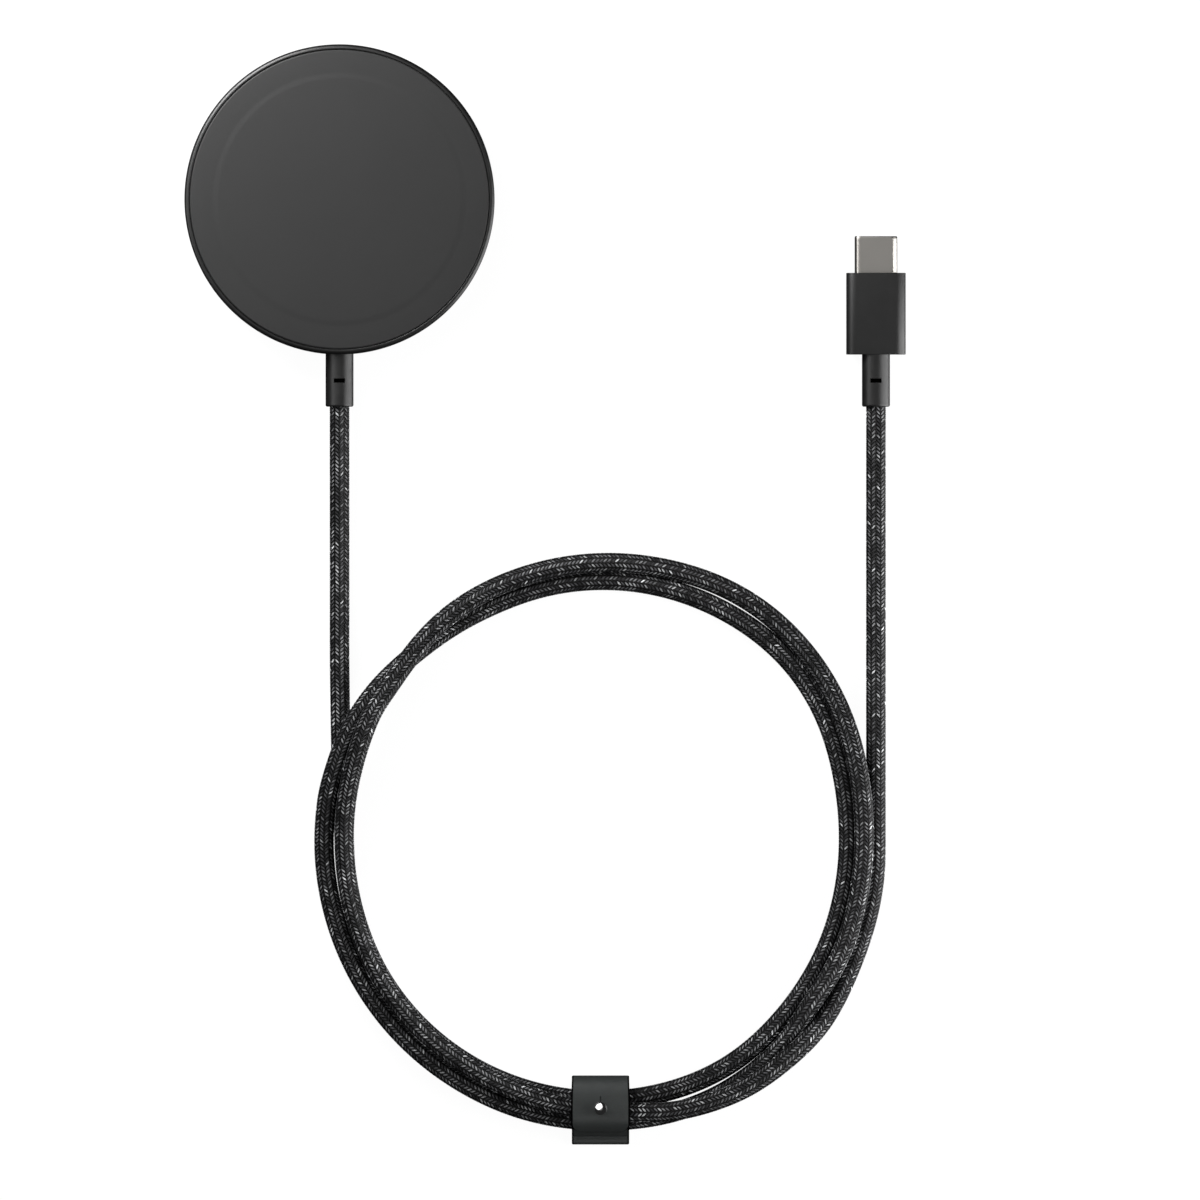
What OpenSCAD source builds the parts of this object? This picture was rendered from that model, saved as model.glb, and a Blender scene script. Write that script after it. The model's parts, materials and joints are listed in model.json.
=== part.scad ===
// Round wireless charging puck on a braided cord, with a leather cord tie and a USB-C plug.
// Millimetres, +Z up. The puck stands on the origin and its cord leaves towards -Y.

/* [Puck] */
// Outer diameter of the puck
puck_d = 60; // [50:1:72]
// Height of the puck, from its foot pad to its face
puck_h = 8; // [8:0.1:10]
// Thickness of the metal side wall
housing_wall = 1.6; // [1.2:0.1:2.4]
// Thickness of the metal floor
housing_floor = 1.2; // [1:0.1:1.6]
// Width of the metal rim that shows around the face
rim_w = 0.9; // [0.6:0.1:1.2]
// Thickness of the hard face plate
face_plate_t = 0.7; // [0.5:0.1:1]
// Thickness of the soft skin on the face plate
face_skin_t = 0.5; // [0.3:0.1:0.8]
// Diameter of the slightly raised middle of the face
face_island_d = 48; // [36:1:49]
// Height of the raised middle above the rest of the face
face_island_h = 0.15; // [0.05:0.05:0.3]
// Diameter of the foot pad
foot_d = 50; // [36:1:50]
// Thickness of the foot pad
foot_t = 0.8; // [0.6:0.1:1]
// How far the foot pad stands below the metal floor
foot_proud = 0.3; // [0.1:0.1:0.5]

/* [Magnets and coil] */
// Number of magnets in the ring
magnet_count = 18; // [12:2:24]
// Radial width of a magnet
magnet_w = 3.6; // [2.6:0.1:4]
// Thickness of a magnet
magnet_t = 0.95; // [0.6:0.05:1.2]
// Angle of the gap between two magnets
magnet_gap_deg = 2; // [1:0.5:4]
// Thickness of the steel ring behind the magnets
yoke_t = 0.4; // [0.3:0.1:0.5]
// Diameter of the coil's wire
coil_wire_d = 1.1; // [0.8:0.1:1.2]
// Number of turns of the coil
coil_turns = 10; // [6:1:11]
// Thickness of the ferrite plate
ferrite_t = 0.6; // [0.4:0.1:0.8]
// Thickness of the plastic coil carrier's floor
carrier_t = 0.4; // [0.3:0.1:0.5]

/* [Circuit board] */
// Thickness of the puck's circuit board
board_t = 0.8; // [0.6:0.1:1]
// Height of the parts on the board's underside
component_h = 0.8; // [0.5:0.1:0.9]
// Thickness of the heat pad under those parts
thermal_pad_t = 0.5; // [0.3:0.1:0.6]

/* [Cord and strain reliefs] */
// Diameter of the braided cord
cord_d = 3.73; // [3.2:0.01:4.5]
// Outer diameter of both strain reliefs
relief_d = 5.4; // [5.2:0.1:5.6]
// Length of a strain relief outside its housing
relief_l = 10.1; // [8:0.1:12.2]
// Length of the slot across a strain relief
relief_slot_l = 2; // [1.6:0.1:2.4]
// Width of the slot across a strain relief
relief_slot_w = 0.75; // [0.5:0.05:1.2]
// Depth of the slot in the strain relief's wall
relief_slot_depth = 0.7; // [0.3:0.1:0.7]

/* [Coil of cord] */
// Radius of the coil at the middle of the bundle inside the tie
coil_r = 52; // [48:0.5:56]
// Inner turn's radius where the turns lie side by side
coil_inner_turn_r = 48; // [46.5:0.1:49]
// Outer turn's radius where the turns lie side by side
coil_outer_turn_r = 55.3; // [54.5:0.1:56.5]

/* [Leather tie] */
// Width of the leather strap
tie_w = 10.9; // [8:0.1:14]
// Width of the flap that buttons over the stud
flap_w = 11.6; // [8:0.1:14]
// Thickness of the leather
leather_t = 1; // [0.8:0.1:1.2]
// Size of the tie across the bundle, over both folds
tie_span = 13.4; // [13.2:0.1:16.1]
// Outer radius of the two bends on the flap's side
tie_bend_r = 4; // [3.4:0.1:4.2]
// Radius of the rounded corners at the flap's tip
tie_corner_r = 2.6; // [1:0.1:3.1]
// Distance of the flap's tip from the outer fold
tie_tip_back = 2.2; // [1:0.1:3]
// Diameter of the stud's ball
ball_d = 2.7; // [2.2:0.1:3]
// Diameter of the stud's neck
neck_d = 1.4; // [1:0.1:1.6]
// Height of the ball's centre above the flap
ball_rise = 1.05; // [0.9:0.05:1.3]
// How far the tie slides along the coil each way, in degrees
tie_slide_deg = 30; // [10:1:35]

/* [USB-C plug] */
// Width of the plug's metal shell
shell_w = 8.25; // [8.25:0.01:8.25]
// Height of the plug's metal shell
shell_h = 2.4; // [2.4:0.01:2.4]
// Wall of the plug's metal shell
shell_wall = 0.25; // [0.2:0.01:0.3]
// Length of the metal shell in front of the plug's body
shell_l = 7.1; // [6.6:0.1:7.5]
// Width of the plug's body
body_w = 11.5; // [11:0.1:14]
// Height of the plug's body
body_h = 5.6; // [5.6:0.1:7]
// Length of the plug's body
body_l = 15.8; // [15.4:0.1:19]
// Radius of the plug body's long edges
body_edge_r = 2; // [1:0.1:2.6]
// Wall of the plug's body
body_wall = 0.8; // [0.6:0.1:0.9]
// Thickness of the plug's circuit board
plug_board_t = 0.8; // [0.6:0.1:0.9]

/* [Hidden] */
$fn = 96;

// Clearances
seat_gap = 0.15;   // around the face in its rim
fit_gap = 0.1;     // between pieces stacked or plugged together
wire_gap = 0.2;    // around wires that pass a hole
tie_gap = 0.2;     // between the tie and the bundle it slides on
ball_gap = 0.15;   // around the ball in the flap's slot

// Puck, outside in
puck_r = puck_d / 2;
cavity_r = puck_r - housing_wall;
rim_inner_r = puck_r - rim_w;
face_r = rim_inner_r - seat_gap;
housing_z0 = foot_proud;
floor_z = foot_proud + housing_floor;
face_plate_z = puck_h - face_skin_t - face_plate_t;
skin_z = face_plate_z + face_plate_t;
rim_round_r = rim_w / 2;
rim_top_z = puck_h - 0.1;
bottom_round_r = 1.2;

// Puck, the stack from the face down
tape_t = 0.15;
magnet_z = face_plate_z - tape_t - magnet_t;
magnet_out_r = cavity_r - 1.6;
magnet_in_r = magnet_out_r - magnet_w;
magnet_pitch_deg = 360 / magnet_count;
yoke_z = magnet_z - yoke_t;
yoke_lip = 0.15;
film_t = 0.1;
coil_bottom_z = magnet_z - 0.35;
coil_pitch = coil_wire_d - 0.04;
coil_out_r = magnet_in_r - 1.3;
coil_in_r = coil_out_r - coil_turns * coil_pitch;
ferrite_z = coil_bottom_z - ferrite_t;
ferrite_r = coil_out_r + 0.6;
carrier_z = ferrite_z - carrier_t;
carrier_r = magnet_out_r + 0.2;
lead_r = coil_wire_d * 0.4;
inner_lead_y = coil_in_r - lead_r - 0.02;
outer_lead_y = coil_out_r + lead_r + 0.02;

// Puck, the stack from the floor up
components_z = floor_z + thermal_pad_t;
board_z = components_z + component_h;
board_r = cavity_r - 1.9;
notch_w = 11;      // opening in the board and the carrier for the cord and its clamp
notch_r = cavity_r - 9.4;

// Strain reliefs, and the cord inside them
puck_axis_z = puck_h / 2;
relief_neck_d = cord_d + 0.7;
relief_flange_d = 2 * (puck_axis_z - floor_z);
relief_flange_t = 1;
cord_bore_d = cord_d + 0.02;
core_d = cord_d - 0.1;
core_end_r = cavity_r - 4.4;
clamp_w = 9.6;
clamp_l = 2.4;
clamp_t = 0.5;
clamp_y = -(cavity_r - 2.5);
clamp_screw_x = clamp_w / 2 - 1.1;
clamp_screw_d = 1.2;
wire_d = 0.6;
wire_pitch = 0.85;

// Plug, its tip towards +Y
plug_x = 103.8;
plug_z = body_h / 2;
body_rear_y = -30;
body_front_y = body_rear_y + body_l;
shell_tip_y = body_front_y + shell_l;
shell_rear_y = body_front_y - 3.4;
cavity_w = body_w - 2 * body_wall;
cavity_h = body_h - 2 * body_wall;
cavity_front_y = body_front_y - body_wall;
cavity_rear_y = body_rear_y + 1.3;
insulator_w = shell_w - 2 * shell_wall - 0.5;
insulator_h = shell_h - 2 * shell_wall - 0.4;
tongue_w = 6.9;    // slot that takes the socket's tongue
tongue_h = 0.95;
tongue_depth = 5.6;
contact_count = 12;
contact_pitch = 0.5;
contact_w = 0.25;
contact_t = 0.12;
board_front_y = shell_rear_y - fit_gap;
board_l = 6;
board_rear_y = board_front_y - board_l;
can_w = cavity_w - 1.2;
can_h = cavity_h - 0.7;
can_wall = 0.25;
can_l = board_l + 0.8;
can_front_y = board_front_y + 0.05;
can_rear_y = can_front_y - can_l;
crimp_l = 1.6;
core_front_y = can_rear_y - 0.3;
crimp_wall = (can_h - core_d) / 2 > 0.3 ? 0.3 : 0.15;

// Coil of cord, in a frame where u is the distance from the coil's middle
coil_x = 50.5;
coil_y = -124.2;
cord_r = cord_d / 2;
bundle_z = leather_t + tie_gap + cord_r;
bundle_half = cord_d * 0.54;
bundle_rise = sqrt(cord_d * cord_d - bundle_half * bundle_half);
coil_rise = cord_d;

// Leather tie, in the same frame: it lies on the bundle's top turn and slopes down over its outer turn
wrap_in_r = cord_r + tie_gap;
wrap_out_r = wrap_in_r + leather_t;
top_turn = [coil_r, bundle_z + bundle_rise];
outer_turn = [coil_r + bundle_half, bundle_z];
slope_deg = atan2(bundle_half, bundle_rise);
stud_layer_z = top_turn[1] + wrap_in_r;
flap_wrap_r = wrap_out_r + fit_gap;
flap_z = top_turn[1] + flap_wrap_r;
flap_top_z = flap_z + leather_t;
tie_in_u = coil_r - tie_span / 2;
tie_out_u = tie_in_u + tie_span;
tail_z = 2 * leather_t;
tail_from_deg = asin((tail_z - bundle_z) / wrap_out_r);
bend_u = tie_in_u + tie_bend_r;
bend_top_z = flap_top_z - tie_bend_r;
hinge_u = bend_u - tie_bend_r * cos(45);
hinge_z = bend_top_z + tie_bend_r * sin(45);
hinge_gap_deg = 1;
tip_u = tie_out_u - tie_tip_back;
slope_end = top_turn + (flap_wrap_r + leather_t) * [cos(slope_deg), sin(slope_deg)];
slope_along = [sin(slope_deg), -cos(slope_deg)];
tip_top = slope_end + slope_along * (tip_u - slope_end[0]) / slope_along[0];
tip_bottom = tip_top - leather_t * [cos(slope_deg), sin(slope_deg)];
stud_layer_u = bend_u - 0.1;
stud_u = coil_r - 0.4;
ball_z = flap_top_z + ball_rise;
stud_foot_d = 2.4;
stud_foot_t = 0.05;
screw_head_d = 2.6;
screw_head_t = 0.4;
screw_d = 0.8;
flap_slot_in_u = stud_u - ball_d / 2 - ball_gap;
flap_slot_out_u = stud_u + ball_d / 2 + 0.95;
flap_slot_w = ball_d + 2 * ball_gap;
slide_sector = tie_slide_deg + asin(flap_w / 2 / tie_in_u) + 1.2;

// The cord's route outside the coil: from the end of each strain relief to the coil
lead_in_route = [
    [0, -52, 3.6], [0, -59, 2.9], [0, -66, 2.2], [0, -73, 1.9],
    [0, -81, 1.9], [0, -89, 1.9], [0.1, -97, 1.9], [0.2, -104, 1.9],
];
lead_out_route = [
    [103.8, -52, 2.6], [103.8, -59, 2.2], [103.8, -66, 1.9], [103.8, -74, 1.9],
    [103.8, -83, 1.9], [103.8, -92, 1.9], [103.8, -101, 1.9], [103.8, -110, 1.9],
];
lead_in_start = [0, -(puck_r + relief_l), puck_axis_z];
lead_out_start = [plug_x, body_rear_y - relief_l, plug_z];

// ---------------------------------------------------------------- shared shapes

// A disc between two heights
module disc(r, z0, z1) translate([0, 0, z0]) cylinder(r = r, h = z1 - z0);

// A flat ring between two heights
module ring(r_in, r_out, z0, z1)
    difference() {
        disc(r_out, z0, z1);
        disc(r_in, z0 - 1, z1 + 1);
    }

// A box given by its middle in X and Y, its size, and two heights
module block(x, y, w, l, z0, z1) translate([x - w / 2, y - l / 2, z0]) cube([w, l, z1 - z0]);

// Its children, drawn in X and Z, drawn out from y0 to y1
module along_y(y0, y1) translate([0, y1, 0]) rotate([90, 0, 0]) linear_extrude(y1 - y0) children();

// A round bar along Y
module bar_y(r, x, z, y0, y1) along_y(y0, y1) translate([x, z]) circle(r);

// A rectangle with round corners, on its own middle
module round_rect(w, h, r) {
    square([w - 2 * r, h], center = true);
    square([w, h - 2 * r], center = true);
    for (sx = [-1, 1], sz = [-1, 1])
        translate([sx * (w / 2 - r), sz * (h / 2 - r)]) circle(r);
}

// Points along an arc
function arc(c, r, from, to, steps = 12) =
    [for (i = [0:steps]) let (a = from + (to - from) * i / steps) [c[0] + r * cos(a), c[1] + r * sin(a)]];

// Its children, drawn as [distance from the coil's middle, height], drawn out across the tie
module across_tie(w) translate([coil_x, coil_y, 0]) rotate([90, 0, -90]) linear_extrude(w, center = true) children();

// A point on the tie's middle line, at a distance from the coil's middle
module on_tie(u, z) translate([coil_x, coil_y - u, z]) children();

// The outline of two floor turns and one turn on top, all of one radius
function bundle_outline(u0, u1, z, top_u, rise, r) =
    let (slope_in = atan2(rise, top_u - u0), slope_out = atan2(rise, u1 - top_u))
    concat(
        arc([u0, z], r, 270, 90 + slope_in, 8),
        arc([top_u, z + rise], r, 90 + slope_in, 90 - slope_out, 6),
        arc([u1, z], r, 90 - slope_out, -90, 8)
    );

// A round cord swept along its points, with eight sides and a flat one underneath
module swept_cord(points, r) {
    sides = 8;
    last = len(points) - 1;
    heading = [for (i = [0:last]) let (d = points[min(i + 1, last)] - points[max(i - 1, 0)]) d / norm(d)];
    rings = [for (i = [0:last])
        let (
            t = i == 0 ? [0, -1, 0] : heading[i],
            across = cross(t, [0, 0, 1]) / norm(cross(t, [0, 0, 1])),
            up = cross(across, t)
        )
        for (k = [0:sides - 1])
            let (a = (k + 0.5) * 360 / sides)
            points[i] + r * (cos(a) * across + sin(a) * up)];
    walls = [for (i = [0:last - 1], k = [0:sides - 1])
        let (n = (k + 1) % sides)
        [i * sides + k, i * sides + n, (i + 1) * sides + n, (i + 1) * sides + k]];
    ends = [[for (k = [sides - 1:-1:0]) k], [for (k = [0:sides - 1]) last * sides + k]];
    polyhedron(points = rings, faces = concat(walls, ends));
}

// A strain relief: a sleeve with a slot across its upper and its lower side
module relief_sleeve(x, z, y0, y1)
    difference() {
        bar_y(relief_d / 2, x, z, y0, y1);
        for (side = [-1, 1])
            translate([x, (y0 + y1) / 2, z + side * (relief_d / 2 - relief_slot_depth / 2 + 0.5)])
                cube([relief_slot_l, relief_slot_w, relief_slot_depth + 1], center = true);
    }

// ---------------------------------------------------------------- puck

module housing() color("#5b5d60")
    difference() {
        union() {
            rotate_extrude() polygon(concat(
                [[0, housing_z0]],
                arc([puck_r - bottom_round_r, housing_z0 + bottom_round_r], bottom_round_r, -90, 0, 8),
                arc([puck_r - rim_round_r, rim_top_z - rim_round_r], rim_round_r, 0, 180, 12),
                [[rim_inner_r, face_plate_z], [cavity_r, face_plate_z], [cavity_r, floor_z], [0, floor_z]]
            ));
            for (sx = [-1, 1])
                translate([sx * clamp_screw_x, clamp_y, 0]) disc(1, floor_z - 0.1, puck_axis_z);
        }
        disc(foot_d / 2, -1, foot_t);
        bar_y(relief_neck_d / 2, 0, puck_axis_z, -puck_r - 1, -cavity_r + 1);
        for (sx = [-1, 1])
            translate([sx * clamp_screw_x, clamp_y, 0]) disc(clamp_screw_d / 2, floor_z, puck_axis_z + 1);
        // flat seat for the strain relief's inner flange
        bar_y(relief_flange_d / 2, 0, puck_axis_z, -cavity_r - 0.1, -cavity_r + 1);
    }

module foot_pad() color("#2b2c2e") disc(foot_d / 2, 0, foot_t);

module thermal_pad() color("#9fb4c4") block(0, 6, 15, 15, floor_z, components_z);

// Parts under the board: [x, y, width, length, share of the full height]
components = [
    [0, 6, 6, 6, 1], [-5, 9.6, 3, 3, 1], [5, 9.6, 3, 3, 1], [-5, 2.4, 3, 3, 1], [5, 2.4, 3, 3, 1],
    [0, 0.8, 4, 2, 0.9], [-13, 4, 2, 1.25, 0.8], [-13, 7, 2, 1.25, 0.8], [13, 4, 2, 1.25, 0.8],
    [13, 7, 2, 1.25, 0.8], [-10, -6, 3.2, 1.6, 0.9], [10, -6, 3.2, 1.6, 0.9],
];
module board_components() color("#1e1f22")
    for (c = components) block(c[0], c[1], c[2], c[3], board_z - component_h * c[4], board_z);

module circuit_board() color("#1f5a3c")
    difference() {
        disc(board_r, board_z, board_z + board_t);
        block(0, -cavity_r, notch_w, 2 * (cavity_r - notch_r), board_z - 1, board_z + board_t + 1);
    }

module coil_carrier() color("#d8d6cf")
    difference() {
        union() {
            disc(carrier_r, carrier_z, ferrite_z);
            ring(ferrite_r + fit_gap, carrier_r, carrier_z, yoke_z);
        }
        block(0, -cavity_r, notch_w, 2 * (cavity_r - notch_r), carrier_z - 1, yoke_z + 1);
        for (y = [inner_lead_y, outer_lead_y])
            translate([0, y, 0]) disc(lead_r + wire_gap, carrier_z - 1, yoke_z + 1);
    }

module ferrite_plate() color("#35332f")
    difference() {
        disc(ferrite_r, ferrite_z, coil_bottom_z);
        for (y = [inner_lead_y, outer_lead_y])
            translate([0, y, 0]) disc(lead_r + wire_gap, ferrite_z - 1, coil_bottom_z + 1);
    }

// One flat layer of wire, wound from the middle out
module transmit_coil() color("#b8703a")
    rotate_extrude() intersection() {
        for (i = [0:coil_turns - 1])
            translate([coil_in_r + (i + 0.5) * coil_pitch, coil_bottom_z + coil_wire_d / 2])
                circle(d = coil_wire_d, $fn = 24);
        translate([0, coil_bottom_z]) square([coil_out_r, coil_wire_d]);
    }

// The coil's two ends, each down through the ferrite and the carrier to the board
module coil_leads() color("#b8703a")
    for (y = [inner_lead_y, outer_lead_y])
        translate([0, y, 0]) disc(lead_r, board_z + board_t, coil_bottom_z + coil_wire_d);

module thermistor() color("#c9c4b8") disc(0.9, coil_bottom_z, coil_bottom_z + 0.8);

module shield_film() color("#3a3a3d")
    disc(ferrite_r, coil_bottom_z + coil_wire_d, coil_bottom_z + coil_wire_d + film_t);

module magnet_yoke() color("#8d8f92")
    difference() {
        ring(magnet_in_r - yoke_lip, magnet_out_r + yoke_lip, yoke_z, magnet_z);
        block(0, -cavity_r, notch_w, 2 * (cavity_r - notch_r), yoke_z - 1, magnet_z + 1);
    }

// Magnets all round, apart from the places above the cord's notch
module magnet_ring() color("#aeb0b3")
    for (i = [0:magnet_count - 1])
        let (middle_deg = (i + 0.5) * magnet_pitch_deg)
            if (abs(middle_deg - 270) > asin(notch_w / 2 / magnet_in_r) + magnet_pitch_deg / 2 - magnet_gap_deg)
                rotate([0, 0, middle_deg - (magnet_pitch_deg - magnet_gap_deg) / 2])
                    rotate_extrude(angle = magnet_pitch_deg - magnet_gap_deg)
                        translate([magnet_in_r, magnet_z]) square([magnet_w, magnet_t]);

module face_tape() color("#e8e4d8")
    difference() {
        ring(magnet_in_r, magnet_out_r, face_plate_z - tape_t, face_plate_z);
        block(0, -cavity_r, notch_w, 2 * (cavity_r - notch_r), face_plate_z - 1, face_plate_z + 1);
    }

module face_plate() color("#4a4c4f") disc(face_r, face_plate_z, skin_z);

// Soft skin with a rounded edge and a low step up to its middle
module face_skin() color("#4f5153")
    rotate_extrude() polygon(concat(
        [[0, skin_z], [face_r, skin_z]],
        arc([face_r - 0.35, puck_h - face_island_h - 0.35], 0.35, 0, 90, 5),
        [[face_island_d / 2 + 0.5, puck_h - face_island_h], [face_island_d / 2, puck_h], [0, puck_h]]
    ));

// A bridge over the cord's end, screwed to two posts on the housing's floor
module cord_clamp() color("#a7a9ac")
    difference() {
        block(0, clamp_y, clamp_w, clamp_l, puck_axis_z, puck_axis_z + core_d / 2 + clamp_t);
        bar_y(core_d / 2, 0, puck_axis_z, clamp_y - clamp_l, clamp_y + clamp_l);
        for (sx = [-1, 1]) {
            block(sx * (core_d / 2 + clamp_t + 5), clamp_y, 10, clamp_l + 1,
                puck_axis_z + clamp_t, puck_axis_z + core_d + 2);
            translate([sx * clamp_screw_x, clamp_y, 0])
                disc(clamp_screw_d / 2, puck_axis_z - 1, puck_axis_z + clamp_t + 1);
        }
    }

module clamp_screws() color("#8f9194")
    for (sx = [-1, 1]) translate([sx * clamp_screw_x, clamp_y, 0]) {
        disc(clamp_screw_d / 2, floor_z + 0.3, puck_axis_z + clamp_t);
        disc(clamp_screw_d * 0.8, puck_axis_z + clamp_t, puck_axis_z + clamp_t + 0.6);
    }

// Four wires from the cord's end, each with its pad on the board
module puck_wires() color("#a33c2f")
    for (i = [0:3]) let (x = (i - 1.5) * wire_pitch) {
        bar_y(wire_d / 2, x, board_z + board_t + wire_d / 2, -core_end_r, -notch_r + 2.6);
        block(x, -notch_r + 3, wire_d * 0.9, 1, board_z + board_t, board_z + board_t + 0.3);
    }

module housing_relief() color("#4b4d4f")
    difference() {
        union() {
            relief_sleeve(0, puck_axis_z, -(puck_r + relief_l), -puck_r + 0.05);
            bar_y(relief_neck_d / 2, 0, puck_axis_z, -puck_r, -cavity_r);
            bar_y(relief_flange_d / 2, 0, puck_axis_z, -cavity_r - 0.1, -cavity_r + relief_flange_t);
        }
        bar_y(cord_bore_d / 2, 0, puck_axis_z, -puck_r - relief_l - 1, -cavity_r + relief_flange_t + 1);
        // the outer sleeve ends on the round wall of the housing
        difference() {
            ring(0, puck_r, housing_z0, puck_h);
            bar_y(relief_neck_d / 2, 0, puck_axis_z, -puck_r - 1, -cavity_r);
            bar_y(relief_flange_d / 2, 0, puck_axis_z, -cavity_r - 0.1, 0);
        }
    }

module cord_puck_end() color("#26272b")
    bar_y(core_d / 2, 0, puck_axis_z, -(puck_r + relief_l), -core_end_r);

// ---------------------------------------------------------------- cord

module cord_lead_in() color("#26272b") swept_cord(concat([lead_in_start], lead_in_route), cord_r);

// The coil's outer shape: turns side by side, and drawn together and lifted inside the tie
module cord_coil() color("#26272b")
    translate([coil_x, coil_y, 0]) {
        rotate_extrude() polygon(bundle_outline(
            coil_r - bundle_half, coil_r + bundle_half, bundle_z, coil_r, bundle_rise, cord_r));
        rotate([0, 0, 270 + slide_sector]) rotate_extrude(angle = 360 - 2 * slide_sector)
            polygon(bundle_outline(
                coil_inner_turn_r, coil_outer_turn_r, cord_r, coil_r, coil_rise, cord_r));
    }

module cord_lead_out() color("#26272b") swept_cord(concat([lead_out_start], lead_out_route), cord_r);

// ---------------------------------------------------------------- plug

module plug_relief() color("#4b4d4f")
    difference() {
        union() {
            relief_sleeve(plug_x, plug_z, body_rear_y - relief_l, body_rear_y);
            bar_y(relief_neck_d / 2, plug_x, plug_z, body_rear_y - 0.1, cavity_rear_y);
        }
        bar_y(cord_bore_d / 2, plug_x, plug_z, body_rear_y - relief_l - 1, cavity_rear_y + 1);
    }

module cord_plug_end() color("#26272b")
    bar_y(core_d / 2, plug_x, plug_z, body_rear_y - relief_l, core_front_y);

module plug_body() color("#333436")
    difference() {
        along_y(body_rear_y, body_front_y) translate([plug_x, plug_z]) round_rect(body_w, body_h, body_edge_r);
        along_y(cavity_rear_y, cavity_front_y) translate([plug_x, plug_z])
            round_rect(cavity_w, cavity_h, body_edge_r - body_wall);
        along_y(cavity_front_y - 1, body_front_y + 1) translate([plug_x, plug_z])
            round_rect(shell_w, shell_h, shell_h / 2 - 0.01);
        bar_y(relief_neck_d / 2, plug_x, plug_z, body_rear_y - 1, cavity_rear_y + 1);
        bar_y(core_d / 2 + crimp_wall, plug_x, plug_z, cavity_rear_y, core_front_y + 0.1);
    }

module plug_inner_mould() color("#e6e2d6")
    difference() {
        along_y(cavity_rear_y, cavity_front_y) translate([plug_x, plug_z])
            round_rect(cavity_w, cavity_h, body_edge_r - body_wall);
        along_y(can_rear_y, can_front_y) translate([plug_x, plug_z]) square([can_w, can_h], center = true);
        along_y(can_front_y - 1, body_front_y + 1) translate([plug_x, plug_z])
            round_rect(shell_w, shell_h, shell_h / 2 - 0.01);
        bar_y(core_d / 2 + crimp_wall, plug_x, plug_z, core_front_y - crimp_l, can_rear_y + 1);
        bar_y(core_d / 2, plug_x, plug_z, cavity_rear_y - 1, core_front_y);
    }

// A folded steel can around the plug's board, open for the shell and for the wires
module plug_shield_can() color("#9a9c9f")
    difference() {
        along_y(can_rear_y, can_front_y) translate([plug_x, plug_z]) square([can_w, can_h], center = true);
        along_y(can_rear_y + can_wall, can_front_y + 1) translate([plug_x, plug_z])
            square([can_w - 2 * can_wall, can_h - 2 * can_wall], center = true);
        along_y(can_rear_y - 1, can_rear_y + 1) translate([plug_x, plug_z])
            square([5, 1.6], center = true);
    }

module plug_crimp() color("#b0b2b5")
    difference() {
        bar_y(core_d / 2 + crimp_wall, plug_x, plug_z, core_front_y - crimp_l, core_front_y);
        bar_y(core_d / 2, plug_x, plug_z, core_front_y - crimp_l - 1, core_front_y + 1);
    }

module plug_wires() color("#a33c2f")
    for (i = [0:3])
        bar_y(wire_d / 2, plug_x + (i - 1.5) * wire_pitch, plug_z, core_front_y, board_rear_y);

module plug_board() color("#1f5a3c")
    block(plug_x, (board_front_y + board_rear_y) / 2, 7, board_l,
        plug_z - plug_board_t / 2, plug_z + plug_board_t / 2);

module plug_chip() color("#1e1f22")
    block(plug_x, board_front_y - 3.4, 2.6, 2.6, plug_z + plug_board_t / 2, plug_z + plug_board_t / 2 + 0.5);

module plug_insulator() color("#1c1c1e")
    difference() {
        along_y(shell_rear_y, shell_tip_y - 0.4) translate([plug_x, plug_z])
            round_rect(insulator_w, insulator_h, 0.6);
        along_y(shell_tip_y - tongue_depth, shell_tip_y) translate([plug_x, plug_z])
            square([tongue_w, tongue_h], center = true);
    }

// Two facing rows of contacts on the walls of the tongue's slot
module plug_contacts() color("#d4af5a")
    for (i = [0:contact_count - 1], side = [-1, 1])
        block(plug_x + (i - (contact_count - 1) / 2) * contact_pitch, shell_tip_y - tongue_depth / 2 - 0.5,
            contact_w, tongue_depth - 1,
            plug_z + side * (tongue_h - contact_t) / 2 - contact_t / 2,
            plug_z + side * (tongue_h - contact_t) / 2 + contact_t / 2);

module plug_latches() color("#b0b2b5")
    for (side = [-1, 1])
        block(plug_x + side * (tongue_w / 2 - 0.1), shell_tip_y - tongue_depth / 2 - 0.8,
            0.2, tongue_depth - 1.6, plug_z - 0.35, plug_z + 0.35);

module plug_ground_springs() color("#b0b2b5")
    for (side = [-1, 1])
        block(plug_x, shell_tip_y - 2.6, 5, 2.4,
            plug_z + side * (insulator_h / 2 + 0.06) - 0.06, plug_z + side * (insulator_h / 2 + 0.06) + 0.06);

module plug_shell() color("#8a8780")
    along_y(shell_rear_y, shell_tip_y) translate([plug_x, plug_z])
        difference() {
            round_rect(shell_w, shell_h, shell_h / 2 - 0.01);
            round_rect(shell_w - 2 * shell_wall, shell_h - 2 * shell_wall, shell_h / 2 - shell_wall - 0.01);
        }

// ---------------------------------------------------------------- leather tie

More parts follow.
